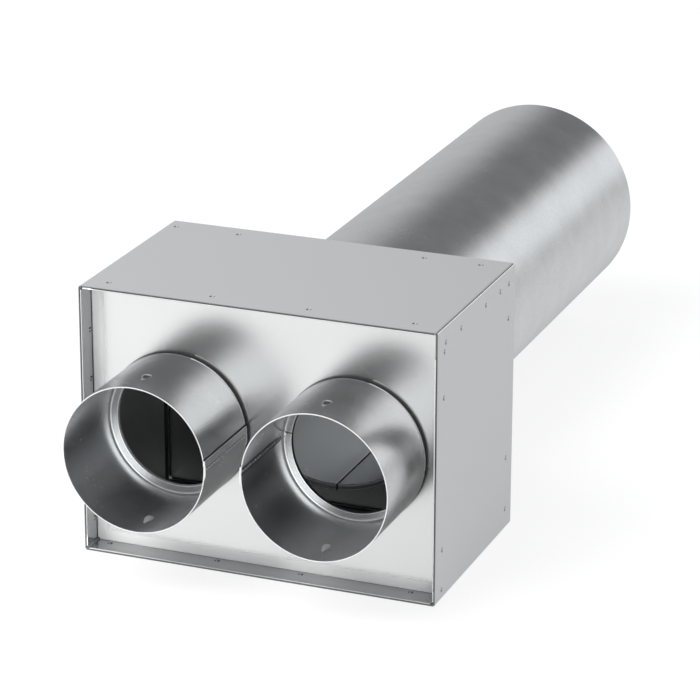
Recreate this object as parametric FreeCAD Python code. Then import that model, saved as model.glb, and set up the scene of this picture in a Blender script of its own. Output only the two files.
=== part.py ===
import FreeCAD, Part
import math
import os

# Wall duct sleeve: a folded sheet-steel box with two short duct sockets on its front
# and one long round duct on its back. Millimetres, +Z up, the sockets face -Y and the
# duct runs towards +Y. The origin is the middle of the box's underside.

V = FreeCAD.Vector
ALONG_Y = V(0, 1, 0)

# Casing: one strip folded round four sides and lapped at the top right edge
casing_width = 200.0
casing_height = 150.0
casing_depth = 120.0
casing_sheet = 0.6
casing_bend = 0.8
lap_height = 14.0
lap_edge_drop = 0.3

# End panels: recessed pans whose flanges lie inside the casing
panel_sheet = 0.6
panel_bend = 0.8
recess_depth = 13.0
corner_relief = 1.8
nest_gap = 0.05

# Sockets for the two flexible ducts, with a stop shoulder and a narrower neck
socket_pitch = 100.0
socket_bore = 79.0
socket_sheet = 0.6
socket_reach = 43.0
shoulder_bend = 1.6
neck_bore = 69.6
neck_bend = 0.2
neck_reach = 1.6

# Lap seam of each socket, the ramp is where the outer layer steps down onto the inner one
socket_lap_edge = 8.0
socket_lap_width = 8.5
socket_lap_ramp = 2.5

# Round duct
duct_diameter = 125.0
duct_sheet = 0.5
duct_reach = 340.0
duct_lip = 2.7
duct_lip_bend = 0.5

# Places that follow from the sizes above
axis_height = casing_height / 2
front_edge = -casing_depth / 2
rear_edge = casing_depth / 2
front_face = front_edge + recess_depth
rear_face = rear_edge - recess_depth
socket_outer = socket_bore / 2 + socket_sheet
neck_outer = neck_bore / 2 + socket_sheet
duct_outer = duct_diameter / 2


def rounded_path(corners, radii):
    """Edges along the corners, with an arc of the given radius at each inner corner."""
    edges = []
    start = corners[0]
    for before, corner, after, radius in zip(corners, corners[1:], corners[2:], radii):
        toward = (corner - before).normalize()
        away = (after - corner).normalize()
        turn = toward.getAngle(away)
        setback = radius * math.tan(turn / 2)
        arc_start = corner - toward * setback
        arc_end = corner + away * setback
        inward = (away - toward).normalize()
        centre = corner + inward * (radius / math.cos(turn / 2))
        middle = centre + (corner - centre).normalize() * radius
        edges.append(Part.LineSegment(start, arc_start).toShape())
        edges.append(Part.Arc(arc_start, middle, arc_end).toShape())
        start = arc_end
    edges.append(Part.LineSegment(start, corners[-1]).toShape())
    return edges


def folded_section(outline, side, sheet, bend, normal):
    """Face of a folded strip: the outline is one skin, and the other lies to its side."""
    across = [(b - a).normalize().cross(normal) * side for a, b in zip(outline, outline[1:])]
    skin = [outline[0] + across[0] * sheet]
    radii = []
    other_radii = []
    for corner, first, second in zip(outline[1:], across, across[1:]):
        skin.append(corner + (first + second) * sheet)
    for index, (first, second) in enumerate(zip(across, across[1:])):
        toward = (outline[index + 1] - outline[index]).normalize()
        inner = bend[index] if isinstance(bend, tuple) else bend
        closing = second.dot(toward) < 0
        radii.append(inner + sheet if closing else inner)
        other_radii.append(inner if closing else inner + sheet)
    skin.append(outline[-1] + across[-1] * sheet)
    near = rounded_path(outline, radii)
    far = rounded_path(skin, other_radii)
    caps = [Part.LineSegment(outline[0], skin[0]).toShape(),
            Part.LineSegment(outline[-1], skin[-1]).toShape()]
    return Part.Face(Part.Wire(Part.__sortEdges__(near + far + caps)))


def tube_along_y(radius, start, end, x=0.0, z=axis_height):
    return Part.makeCylinder(radius, end - start, V(x, start, z), ALONG_Y)


def ring_solid(outline, sheet, bend, x):
    """Sheet of revolution about the axis at x; the outline is its outer skin."""
    section = folded_section(outline, -1, sheet, bend, V(0, 0, 1))
    solid = section.revolve(V(0, 0, 0), ALONG_Y, 360)
    solid.translate(V(x, 0, axis_height))
    return solid


def polar(radius, degrees):
    angle = math.radians(degrees)
    return V(radius * math.cos(angle), 0, radius * math.sin(angle))


def lap_strip(base, top, edge_angle, width, direction, start, end, x):
    """Doubled sheet at a seam: a raw edge at edge_angle, a flat lap and then a ramp."""
    turn = direction * math.degrees(1 / base)
    lap_end = edge_angle + turn * width
    ramp_end = lap_end + turn * socket_lap_ramp
    root = base - (top - base) / 2
    middle = (edge_angle + lap_end) / 2
    root_middle = (edge_angle + ramp_end) / 2
    edges = [Part.LineSegment(polar(root, edge_angle), polar(top, edge_angle)).toShape(),
             Part.Arc(polar(top, edge_angle), polar(top, middle), polar(top, lap_end)).toShape(),
             Part.LineSegment(polar(top, lap_end), polar(root, ramp_end)).toShape(),
             Part.Arc(polar(root, ramp_end), polar(root, root_middle), polar(root, edge_angle)).toShape()]
    strip = Part.Face(Part.Wire(edges)).extrude(V(0, end - start, 0))
    strip.translate(V(x, start, axis_height))
    return strip


def make_casing():
    lap_outer = casing_width / 2 - casing_sheet - nest_gap
    outline = [V(lap_outer, front_edge, casing_height - lap_height),
               V(lap_outer, front_edge, casing_height),
               V(-casing_width / 2, front_edge, casing_height),
               V(-casing_width / 2, front_edge, 0),
               V(casing_width / 2, front_edge, 0),
               V(casing_width / 2, front_edge, casing_height - lap_edge_drop)]
    section = folded_section(outline, 1, casing_sheet, casing_bend, ALONG_Y)
    return section.extrude(V(0, casing_depth, 0))


def panel_pan():
    """Pan that opens towards -Y, seated in the casing's front end."""
    inset = casing_sheet + nest_gap
    width = casing_width - 2 * inset
    height = casing_height - 2 * inset
    outer_bend = panel_bend + panel_sheet
    back = front_face + panel_sheet
    block = Part.makeBox(width, back - front_edge, height, V(-width / 2, front_edge, inset))
    hollow = Part.makeBox(width - 2 * panel_sheet, recess_depth, height - 2 * panel_sheet,
                          V(panel_sheet - width / 2, front_edge, inset + panel_sheet))
    block = block.makeFillet(outer_bend, back_edges(block, back))
    hollow = hollow.makeFillet(panel_bend, back_edges(hollow, front_face))
    pan = block.cut(hollow)
    for x in (-width / 2, width / 2):
        for z in (inset, inset + height):
            pan = pan.cut(centred_box(corner_relief * 2, back - front_edge, x, z))
    notch_width = 2 * casing_sheet + 3 * nest_gap
    notch_height = lap_height + nest_gap
    notch = Part.makeBox(notch_width, casing_depth, notch_height,
                         V(casing_width / 2 - notch_width, front_edge, casing_height - notch_height))
    return pan.cut(notch)


def back_edges(box, y):
    return [edge for edge in box.Edges if all(abs(vertex.Y - y) < 1e-6 for vertex in edge.Vertexes)]


def centred_box(side, depth, x, z):
    return Part.makeBox(side, depth, side, V(x - side / 2, front_edge, z - side / 2))


def make_front_panel():
    pan = panel_pan()
    for x in (-socket_pitch / 2, socket_pitch / 2):
        pan = pan.cut(tube_along_y(neck_outer + neck_bend + nest_gap, front_edge, rear_edge, x))
    return pan


def make_rear_panel():
    pan = panel_pan().mirror(V(0, 0, 0), ALONG_Y)
    hole = duct_outer + duct_lip_bend + nest_gap
    return pan.cut(tube_along_y(hole, front_edge, rear_edge))


def make_socket(side):
    """Socket on the left (side -1) or right (side 1); the two seams face each other."""
    x = side * socket_pitch / 2
    mouth = front_edge - socket_reach
    outline = [V(socket_outer, mouth, 0),
               V(socket_outer, front_face, 0),
               V(neck_outer, front_face, 0),
               V(neck_outer, front_face + neck_reach, 0)]
    wall = ring_solid(outline, socket_sheet, (shoulder_bend, neck_bend), x)
    edge_angle = socket_lap_edge if side < 0 else 180 - socket_lap_edge
    shoulder_start = front_face - shoulder_bend - socket_sheet
    wall = wall.fuse(lap_strip(socket_outer, socket_outer + socket_sheet, edge_angle,
                               socket_lap_width, side, mouth, shoulder_start, x))
    return wall.removeSplitter()


def make_duct():
    lip_front = rear_face - panel_sheet
    far_end = rear_edge + duct_reach
    outline = [V(duct_outer, far_end, 0),
               V(duct_outer, lip_front, 0),
               V(duct_outer + duct_lip, lip_front, 0)]
    section = folded_section(outline, 1, duct_sheet, duct_lip_bend, V(0, 0, 1))
    wall = section.revolve(V(0, 0, 0), ALONG_Y, 360)
    wall.translate(V(0, 0, axis_height))
    return wall


NODES = {
    "casing": make_casing,
    "front_panel": make_front_panel,
    "rear_panel": make_rear_panel,
    "left_socket": lambda: make_socket(-1),
    "right_socket": lambda: make_socket(1),
    "duct": make_duct,
}


def main():
    os.makedirs("parts", exist_ok=True)
    for name, build in NODES.items():
        shape = build()
        shape.exportStep("parts/" + name + ".step")
        box = shape.BoundBox
        print(name, "solids", len(shape.Solids), "valid", shape.isValid(),
              "volume %.1f" % shape.Volume,
              "x %.2f %.2f y %.2f %.2f z %.2f %.2f" % (box.XMin, box.XMax, box.YMin,
                                                        box.YMax, box.ZMin, box.ZMax))


main()
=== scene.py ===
import math

import bmesh
import bpy
from bpy.props import FloatProperty, FloatVectorProperty, PointerProperty
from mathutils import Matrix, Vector


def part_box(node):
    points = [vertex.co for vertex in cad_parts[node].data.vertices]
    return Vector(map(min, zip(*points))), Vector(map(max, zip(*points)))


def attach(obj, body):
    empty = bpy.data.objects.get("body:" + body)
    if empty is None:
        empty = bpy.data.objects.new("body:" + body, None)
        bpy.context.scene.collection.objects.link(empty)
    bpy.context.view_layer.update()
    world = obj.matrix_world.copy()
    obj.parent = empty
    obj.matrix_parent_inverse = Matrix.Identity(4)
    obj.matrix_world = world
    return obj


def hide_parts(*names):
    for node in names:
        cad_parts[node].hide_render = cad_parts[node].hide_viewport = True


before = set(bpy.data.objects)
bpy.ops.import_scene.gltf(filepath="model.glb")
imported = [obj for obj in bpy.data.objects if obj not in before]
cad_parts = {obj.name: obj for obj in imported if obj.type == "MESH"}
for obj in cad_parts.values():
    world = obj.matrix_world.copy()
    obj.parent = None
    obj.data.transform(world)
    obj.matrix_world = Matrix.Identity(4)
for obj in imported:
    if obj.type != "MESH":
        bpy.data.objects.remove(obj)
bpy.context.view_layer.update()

bl_info = {
    "name": "Wall duct sleeve",
    "version": (1, 0, 0),
    "blender": (4, 5, 0),
    "location": "View3D > Sidebar > Duct sleeve",
    "description": "Galvanised duct box with two sockets and one long duct, in a small studio",
    "category": "Object",
}

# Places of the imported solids, in metres
CASING_LOW, CASING_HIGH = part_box("casing")
FRONT_LOW, FRONT_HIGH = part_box("front_panel")
REAR_LOW, REAR_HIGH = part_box("rear_panel")
SOCKET_LOW, SOCKET_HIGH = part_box("left_socket")
DUCT_LOW, DUCT_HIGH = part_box("duct")
AXIS_Z = (CASING_LOW.z + CASING_HIGH.z) / 2
SOCKET_RADIUS = (SOCKET_HIGH.z - SOCKET_LOW.z) / 2
SOCKET_X = -(SOCKET_LOW.x + SOCKET_RADIUS)

MM = 0.001
STEP = 0.01 * MM
# Share of a step or of a radius that is too small to count
STEP_SLACK = 0.01
NEAR_ZERO = 1e-4

# Order of the materials on every piece
# SHADE_FACE holds each piece's painted shade; on the rear panel it holds the plain zinc
PLAIN_SHEET, CUT_EDGE_AND_HIGHLIGHT, GAP_AND_SHADE, SHADE_FACE, INNER_SKIN, STOP_RING = range(6)
# Painted light: a paler, less metallic band of the front panel beside its bends: where it starts, where
# it ends, and how much less metallic it is
PAINTED_LIGHT_BAND_START = (1.3 * MM, 2.1 * MM)
PAINTED_LIGHT_BAND_END = (6.3 * MM, 9.8 * MM)
PAINTED_LIGHT_DULLING = 0.9

# Clinch marks that hold the sheets, as distances from the near edge of each side
TOP_FRONT = ((13 * MM, 72 * MM), (16 * MM, 74 * MM))
TOP_REAR = ((6.3 * MM, 43.7 * MM), (16 * MM, 48 * MM))
BOTTOM_FRONT = ((10 * MM, 73 * MM), (17 * MM, 79 * MM))
BOTTOM_REAR = ((10 * MM, 50 * MM), (12 * MM, 52 * MM))
RIGHT_FRONT = ((5.6 * MM, 28 * MM), (13 * MM, 38 * MM))
RIGHT_REAR = ((12 * MM, 42 * MM), (8.5 * MM, 28 * MM))
LEFT_FRONT = ((15 * MM, 50 * MM), (27.5 * MM, 55 * MM))
LEFT_REAR = ((12 * MM, 42 * MM), (12 * MM, 28 * MM))
LAP_MARKS = (12 * MM, 35 * MM, 73 * MM, 96 * MM)
LAP_MARK_DROP = 8.5 * MM


def length(title, note, value):
    return FloatProperty(name=title, description=note, default=value, unit="LENGTH", precision=5)


def colour(title, note, value):
    return FloatVectorProperty(name=title, description=note, default=(*value, 1), size=4,
                               subtype="COLOR", min=0, max=1)


def share(title, note, value):
    return FloatProperty(name=title, description=note, default=value, subtype="FACTOR", min=0, max=1)


class SleeveSizes(bpy.types.PropertyGroup):
    sheet: length("Sheet", "Thickness of the casing, panel and socket sheet", 0.6 * MM)
    bend: length("Bend", "Inner radius of the casing and panel bends", 0.8 * MM)
    cut_edge: length("Cut edge", "Chamfer that shearing leaves on a cut edge", 0.09 * MM)
    lap_height: length("Lap", "Height of the flange that the casing laps over", 14 * MM)
    lap_gap: length("Lap gap", "Distance of the lap's raw edge from the top face", 0.3 * MM)
    nest_gap: length("Nest gap", "Clearance between nested sheets", 0.05 * MM)
    corner_relief: length("Corner relief", "Notch at each corner of an end panel", 1.8 * MM)
    clinch_radius: length("Clinch mark", "Radius of a pressed clinch mark", 1.45 * MM)
    clinch_depth: length("Clinch depth", "Depth of a pressed clinch mark", 0.3 * MM)
    clinch_setback: length("Clinch setback", "Distance of the clinch rows from the ends", 10 * MM)
    shoulder_bend: length("Shoulder bend", "Inner radius of a socket's stop shoulder", 1.6 * MM)
    neck_bend: length("Neck bend", "Inner radius where the neck leaves the shoulder", 0.2 * MM)
    neck_radius: length("Neck", "Outer radius of a socket's neck", 35.4 * MM)
    neck_reach: length("Neck reach", "Length of the neck behind the panel's face", 1.6 * MM)
    duct_sheet: length("Duct sheet", "Thickness of the long duct's sheet", 0.5 * MM)
    duct_lip: length("Duct lip", "Width of the lip turned out inside the box", 2.7 * MM)
    duct_lip_bend: length("Lip bend", "Inner radius of the duct's lip", 0.5 * MM)
    seam_lap: length("Seam lap", "Width of the doubled sheet at a socket's seam", 8.5 * MM)
    seam_ramp: length("Seam ramp", "Width over which the outer layer comes down", 2.5 * MM)
    stitch_pitch: length("Stitch pitch", "Distance between the pressed stitches of a seam", 3.2 * MM)
    stitch_depth: length("Stitch depth", "Depth of a pressed stitch", 0.28 * MM)
    dimple_setback: length("Dimple", "Distance of a locking dimple from the mouth", 18.5 * MM)
    dimple_radius: length("Dimple radius", "Radius of the round head of a locking dimple", 2.4 * MM)
    dimple_ramp: length("Dimple ramp", "Length of a locking dimple's tail", 7 * MM)
    dimple_depth: length("Dimple depth", "Depth of a locking dimple", 1.2 * MM)


class SleeveFinish(bpy.types.PropertyGroup):
    casing_colour: colour("Casing", "Colour of the casing sheet", (0.555, 0.56, 0.565))
    panel_colour: colour("Panels", "Colour of the end panels", (0.668, 0.668, 0.66))
    # Painted light: pale colour of the band beside the front panel's bends
    painted_light_colour: colour("Painted light band", "Colour beside the front panel's bends", (0.97, 0.97, 0.96))
    # Painted shade: darker colour of the front panel's left and bottom flanges
    flange_shade_colour: colour("Flanges", "Colour of the front panel's dull flanges", (0.45, 0.455, 0.46))
    tube_colour: colour("Tubes", "Colour of the sockets and the duct", (0.65, 0.66, 0.67))
    # Painted shade: the duct's inner side is darker than its outside
    duct_inside_shade_colour: colour("Duct inside", "Colour of the duct's inner side", (0.52, 0.53, 0.54))
    # Painted highlight: the stop rings are paler than the tubes
    ring_highlight_colour: colour("Stop ring highlight", "Colour of the sockets' stop rings", (0.93, 0.94, 0.94))
    # Painted shade: dark colour of the locking dimples
    dimple_shade_colour: colour("Dimple shade", "Colour of the locking dimples", (0.27, 0.27, 0.27))
    # Also the colour of the painted highlights on bends, beads, stitches, necks and the duct's lip
    edge_and_highlight_colour: colour("Cut edges", "Colour of bright sheared edges", (0.84, 0.84, 0.84))
    # Painted shade: dark colour of the casing's cut edges and of its clinch marks' walls
    edge_shade_colour: colour("Edge shade", "Colour of the casing's end edges", (0.3, 0.3, 0.3))
    # Also the colour of painted shade in creases, grooves, slits, hollows and a shaded strip
    gap_shade_colour: colour("Gaps", "Darkest colour between two layers of sheet", (0.03, 0.032, 0.035))
    dust_colour: colour("Dust", "Colour of the dust in the gaps", (0.07, 0.072, 0.075))
    casing_roughness: share("Casing roughness", "Roughness of the casing sheet", 0.34)
    panel_roughness: share("Panel roughness", "Roughness of the end panels", 0.25)
    tube_roughness: share("Tube roughness", "Roughness of the sockets and the duct", 0.26)
    floor_colour: colour("Floor", "Colour of the plain floor", (0.9, 0.9, 0.9))


class FoldedLine:
    """Skin of a folded sheet as a line in a plane: straight runs joined by arcs."""

    ARC_STEPS = 7

    def __init__(self, corners, radii, side):
        self.side = side
        self.runs = []
        self.length = 0.0
        start = corners[0]
        for before, corner, after, radius in zip(corners, corners[1:], corners[2:], radii):
            heading = (corner - before).normalized()
            onward = (after - corner).normalized()
            turn = math.atan2(left_of(heading).dot(onward), heading.dot(onward))
            arc_start = corner - heading * radius * math.tan(abs(turn) / 2)
            self.add_run((arc_start - start).length, start, heading, 0.0)
            self.add_run(radius * abs(turn), arc_start, heading, math.copysign(1 / radius, turn))
            start = corner + onward * radius * math.tan(abs(turn) / 2)
        heading = (corners[-1] - start).normalized()
        self.add_run((corners[-1] - start).length, start, heading, 0.0)

    def add_run(self, length, point, heading, curvature):
        self.runs.append((self.length, self.length + length, point, heading, curvature))
        self.length += length

    def at(self, distance):
        """Point on the skin and the unit normal towards the other skin."""
        for begin, end, point, heading, curvature in self.runs:
            if distance <= end + STEP:
                break
        travelled = distance - begin
        if curvature == 0:
            return point + heading * travelled, left_of(heading) * self.side
        turned = rotated(heading, travelled * curvature)
        centre = point + left_of(heading) / curvature
        return centre - left_of(turned) / curvature, left_of(turned) * self.side

    def stops(self):
        """Distances at which the bends begin and end, with even steps round each bend."""
        found = []
        for begin, end, point, heading, curvature in self.runs:
            steps = self.ARC_STEPS if curvature else 1
            found += [begin + (end - begin) * step / steps for step in range(steps + 1)]
        return found

    def distance_at(self, place):
        """Distance along the line of the straight run's point that lies nearest to a place."""
        best = None
        for begin, end, point, heading, curvature in self.runs:
            if curvature:
                continue
            along = min(max((place - point).dot(heading), 0), end - begin)
            gap = (point + heading * along - place).length
            if best is None or gap < best[0]:
                best = (gap, begin + along)
        return best[1]


def left_of(direction):
    return Vector((-direction.y, direction.x))


def rotated(direction, angle):
    cosine = math.cos(angle)
    sine = math.sin(angle)
    return Vector((direction.x * cosine - direction.y * sine, direction.x * sine + direction.y * cosine))


def flat(a, b):
    return Vector((a, b))


def spread(low, high, step):
    """Even steps from low to high, none longer than step."""
    count = max(1, math.ceil((high - low) / step - STEP_SLACK))
    return [low + (high - low) * index / count for index in range(count + 1)]


def grid_lines(stops, step, fine=()):
    """Sorted grid values: the stops, fine stretches (low, high, step) and even steps between."""
    wanted = list(stops)
    for low, high, fine_step in fine:
        wanted += [value for value in spread(low, high, fine_step) if stops[0] < value < stops[-1]]
    wanted.sort()
    lines = [wanted[0]]
    for value in wanted[1:]:
        if value - lines[-1] > STEP / 2:
            lines += spread(lines[-1], value, step)[1:]
    return lines


def both_ends(low, high, distances):
    """Places at the given distances from the low end and from the high end."""
    from_low, from_high = distances
    return [low + distance for distance in from_low] + [high - distance for distance in from_high]


class ClinchRow:
    """Pressed marks on a sheet: each grid square round a mark is drawn into rings."""

    RINGS = 3
    FLOOR_SHARE = 0.35
    SPACE = 1.35
    SLIT_SLOPE = 0.8

    def __init__(self, centres, sizes):
        self.centres = centres
        self.radius = sizes.clinch_radius
        self.depth = sizes.clinch_depth
        self.reach = self.radius * self.SPACE

    def fine(self, axis):
        step = self.reach / self.RINGS
        return [(centre[axis] - self.reach, centre[axis] + self.reach, step) for centre in self.centres]

    def press(self, across, along):
        """Where a grid point goes on the sheet, and how deep it is pressed."""
        for centre in self.centres:
            aside = (across - centre[0]) / self.reach
            ahead = (along - centre[1]) / self.reach
            ring = max(abs(aside), abs(ahead))
            if ring < 1 - NEAR_ZERO:
                return self.pressed_point(centre, aside, ahead, ring)
        return across, along, 0.0

    def in_slit(self, across, along, with_floor=False):
        """Whether a place is on the lanced wall at either end of a mark, or on its floor."""
        for centre in self.centres:
            aside = abs(across - centre[0]) / self.reach
            ahead = abs(along - centre[1]) / self.reach
            ring = max(aside, ahead)
            if with_floor and ring < 1 / self.RINGS:
                return True
            if 1 / self.RINGS < ring < 1 - 1 / self.RINGS and ahead > aside * self.SLIT_SLOPE:
                return True
        return False

    def pressed_point(self, centre, aside, ahead, ring):
        if ring < NEAR_ZERO:
            return centre[0], centre[1], self.depth
        inner = 1 / self.RINGS
        rim = 1 - inner
        angle = math.atan2(ahead, aside)
        if ring <= rim + NEAR_ZERO:
            if ring <= inner + NEAR_ZERO:
                radius = self.radius * self.FLOOR_SHARE * ring / inner
                depth = self.depth
            else:
                climb = (ring - inner) / (rim - inner)
                radius = self.radius * (self.FLOOR_SHARE + (1 - self.FLOOR_SHARE) * climb)
                depth = self.depth * (1 - climb)
            return centre[0] + radius * math.cos(angle), centre[1] + radius * math.sin(angle), depth
        spread_out = (ring - rim) / inner
        circle = (self.radius * math.cos(angle), self.radius * math.sin(angle))
        square = (aside / ring * self.reach, ahead / ring * self.reach)
        return (centre[0] + circle[0] + (square[0] - circle[0]) * spread_out,
                centre[1] + circle[1] + (square[1] - circle[1]) * spread_out, 0.0)


class SheetMesh:
    """Closed mesh of one sheet: two skins and the cut edges between them."""

    SHARP_FROM = math.radians(38)
    WELD_DISTANCE = STEP / 10
    SLIVER_LENGTH = STEP / 20

    def __init__(self, sheet, cut_edge):
        self.mesh = bmesh.new()
        self.sheet = sheet
        self.cut_edge = cut_edge

    def profile(self, across, welded_start):
        """Positions and depths round the section of a strip, and how many lie on one skin."""
        inner = list(across)
        inner[-1] -= self.cut_edge
        if not welded_start:
            inner[0] += self.cut_edge
        loop = [(value, 0.0) for value in inner]
        loop += [(across[-1], self.cut_edge), (across[-1], self.sheet - self.cut_edge)]
        loop += [(value, self.sheet) for value in reversed(inner)]
        if not welded_start:
            loop += [(across[0], self.sheet - self.cut_edge), (across[0], self.cut_edge)]
        return loop, len(inner)

    def strip(self, across, along, place, closed=False, welded_start=False, surface=None, edge=CUT_EDGE_AND_HIGHLIGHT):
        """Adds the strip over a grid; place(across, along, depth) gives each point.

        surface(across, along, depth) says what the skin is like in the middle of a face.
        """
        loop, count = self.profile(across, welded_start)
        rows = [[self.mesh.verts.new(place(value, station, depth)) for value, depth in loop]
                for station in along]
        pairs = list(zip(rows, rows[1:]))
        middles = [(first + second) / 2 for first, second in zip(along, along[1:])]
        if closed:
            pairs.append((rows[-1], rows[0]))
            middles.append(along[-1])
        last = len(loop) - (1 if welded_start else 0)
        for (first, second), middle in zip(pairs, middles):
            for index in range(last):
                after = (index + 1) % len(loop)
                face = self.mesh.faces.new((first[index], first[after], second[after], second[index]))
                on_skin = index < count - 1 or count + 2 <= index < 2 * count + 1
                if not on_skin:
                    face.material_index = edge
                elif surface:
                    middle_across = (loop[index][0] + loop[after][0]) / 2
                    face.material_index = surface(middle_across, middle, loop[index][1])
        if not closed:
            for row in (rows[0], rows[-1]):
                self.cap(row, count, welded_start)

    def cap(self, row, count, welded_start):
        """Closes one raw end of a strip."""
        far = 2 * count + 1
        for index in range(count - 1):
            self.edge_face((row[index], row[index + 1], row[far - index - 1], row[far - index]))
        self.edge_face(tuple(row[count - 1:count + 3]))
        if not welded_start:
            self.edge_face((row[0], row[far], row[far + 1], row[far + 2]))

    def edge_face(self, corners):
        self.mesh.faces.new(corners).material_index = CUT_EDGE_AND_HIGHLIGHT

    def pierced_plate(self, outline, centre, radius, place, rings):
        """Flat plate between a closed outline and a round hole, both skins and the hole's edge."""
        skins = []
        for depth in (0.0, self.sheet):
            skin = []
            for point in outline:
                edge = centre + (point - centre).normalized() * radius
                column = [point + (edge - point) * share_in for share_in in rings]
                skin.append([self.mesh.verts.new(place(spot, depth)) for spot in column])
            skins.append(skin)
        count = len(outline)
        for skin in skins:
            for index in range(count):
                here = skin[index]
                there = skin[(index + 1) % count]
                for ring in range(len(rings) - 1):
                    self.mesh.faces.new((here[ring], there[ring], there[ring + 1], here[ring + 1]))
        for index in range(count):
            after = (index + 1) % count
            self.edge_face((skins[0][index][-1], skins[0][after][-1],
                            skins[1][after][-1], skins[1][index][-1]))

    def finish(self, name, materials, node, slot):
        """Welds the parts, makes the object and lets it stand for its solid."""
        bmesh.ops.remove_doubles(self.mesh, verts=self.mesh.verts, dist=self.WELD_DISTANCE)
        bmesh.ops.dissolve_degenerate(self.mesh, edges=self.mesh.edges, dist=self.SLIVER_LENGTH)
        bmesh.ops.recalc_face_normals(self.mesh, faces=self.mesh.faces)
        data = bpy.data.meshes.new(name)
        self.mesh.to_mesh(data)
        self.mesh.free()
        data.shade_smooth()
        data.set_sharp_from_angle(angle=self.SHARP_FROM)
        for material in materials:
            data.materials.append(material)
        piece = bpy.data.objects.new(name, data)
        bpy.context.scene.collection.objects.link(piece)
        even = piece.modifiers.new("Even shading", "WEIGHTED_NORMAL")
        even.keep_sharp = True
        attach(piece, "root")
        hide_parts(node)


class Wire:
    """Output of a node that Python arithmetic can use: each operation adds a Math node."""

    def __init__(self, board, output):
        self.board = board
        self.output = output

    def __add__(self, other):
        return self.board.maths("ADD", self, other)

    def __sub__(self, other):
        return self.board.maths("SUBTRACT", self, other)

    def __rsub__(self, other):
        return self.board.maths("SUBTRACT", other, self)

    def __mul__(self, other):
        return self.board.maths("MULTIPLY", self, other)

    def __truediv__(self, other):
        return self.board.maths("DIVIDE", self, other)

    def __rtruediv__(self, other):
        return self.board.maths("DIVIDE", other, self)

    def __abs__(self):
        return self.board.maths("ABSOLUTE", self)

    __radd__ = __add__
    __rmul__ = __mul__

    def root(self):
        return self.board.maths("SQRT", self)

    def larger(self, other):
        return self.board.maths("MAXIMUM", self, other)

    def rise(self, low, high):
        """0 below low and 1 above high, with a smooth rise between."""
        made = self.board.node("ShaderNodeMapRange", {"interpolation_type": "SMOOTHSTEP"},
                               {"Value": self, "From Min": low, "From Max": high})
        return self.board.wire(made, "Result")


class NodeBoard:
    """Node tree of a material or of the world."""

    def __init__(self, owner):
        owner.use_nodes = True
        self.tree = owner.node_tree
        self.tree.nodes.clear()

    def node(self, kind, settings=None, sockets=None):
        """Adds a node: its settings first, then the values or wires of its sockets."""
        made = self.tree.nodes.new(kind)
        for name, value in (settings or {}).items():
            setattr(made, name, value)
        for key, value in (sockets or {}).items():
            if isinstance(value, Wire):
                self.tree.links.new(value.output, made.inputs[key])
            else:
                made.inputs[key].default_value = value
        return made

    def wire(self, made, key):
        return Wire(self, made.outputs[key])

    def maths(self, operation, first, second=0.0):
        return self.wire(self.node("ShaderNodeMath", {"operation": operation}, {0: first, 1: second}), 0)

    def noise(self, size, detail=1.0, roughness=0.5):
        """Soft noise over the object; size is that of its spots, in metres."""
        made = self.node("ShaderNodeTexNoise", {"noise_dimensions": "3D"},
                         {"Vector": self.place(), "Scale": 1 / size, "Detail": detail,
                          "Roughness": roughness})
        return self.wire(made, "Fac")

    def mixed(self, factor, first, second):
        made = self.node("ShaderNodeMix", {"data_type": "RGBA"}, {0: factor, 6: first, 7: second})
        return self.wire(made, 2)

    def place(self):
        """Place on the object, in metres."""
        return self.wire(self.node("ShaderNodeTexCoord"), "Object")

    def metal(self, tint, metallic, roughness, more=None):
        """Metal as the material's surface; more holds the sockets that only some metals need."""
        sockets = {"Base Color": tint, "Metallic": metallic, "Roughness": roughness}
        sockets.update(more or {})
        made = self.node("ShaderNodeBsdfPrincipled", None, sockets)
        self.node("ShaderNodeOutputMaterial", None, {"Surface": self.wire(made, "BSDF")})


# Each zinc coat: size of its clouds and of its grains, strength of the grain, height of the ripple
CASING_COAT = (30 * MM, 1.6 * MM, 0.008, 0.006 * MM)
PANEL_COAT = (40 * MM, 1.4 * MM, 0.006, 0.004 * MM)
TUBE_COAT = (20 * MM, 1.1 * MM, 0.12, 0.004 * MM)
# Detail and roughness of the noise that draws the clouds and the grains
CLOUD_DETAIL = (3.0, 0.55)
GRAIN_DETAIL = (2.0, 0.6)
# Share of the clouds in a coat's tone and in its ripple, and how far its roughness varies
CLOUDS_IN_TONE = 0.45
CLOUDS_IN_RIPPLE = 0.9
ROUGHNESS_RANGE = 0.04
# Where a coat's tone turns from dark to light, and how strong its light grain is beside its dark one
TONE_TURN = (0.25, 0.75)
LIGHT_GRAIN = 0.5
# Tool marks on cut metal: their size, where they fade in, and how dark they are
TOOL_MARK_SIZE = 0.7 * MM
TOOL_MARK_FADE = (0.3, 0.7)
TOOL_MARK_SHADE = 0.85
CUT_ROUGHNESS = 0.35
CUT_ROUGHNESS_RANGE = 0.2
DUST_SIZE = 1.5 * MM
GAP_ROUGHNESS = 0.55
# How metallic each finish is: a duller zinc has less
CASING_METALLIC = 0.65
PANEL_METALLIC = 0.97
SOCKET_INSIDE_METALLIC = 0.94
EDGE_METALLIC = 0.5
GAP_METALLIC = 0.5
PRESSED_METALLIC = 0.3


def shade(colour, factor):
    return (colour[0] * factor, colour[1] * factor, colour[2] * factor, 1)


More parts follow.
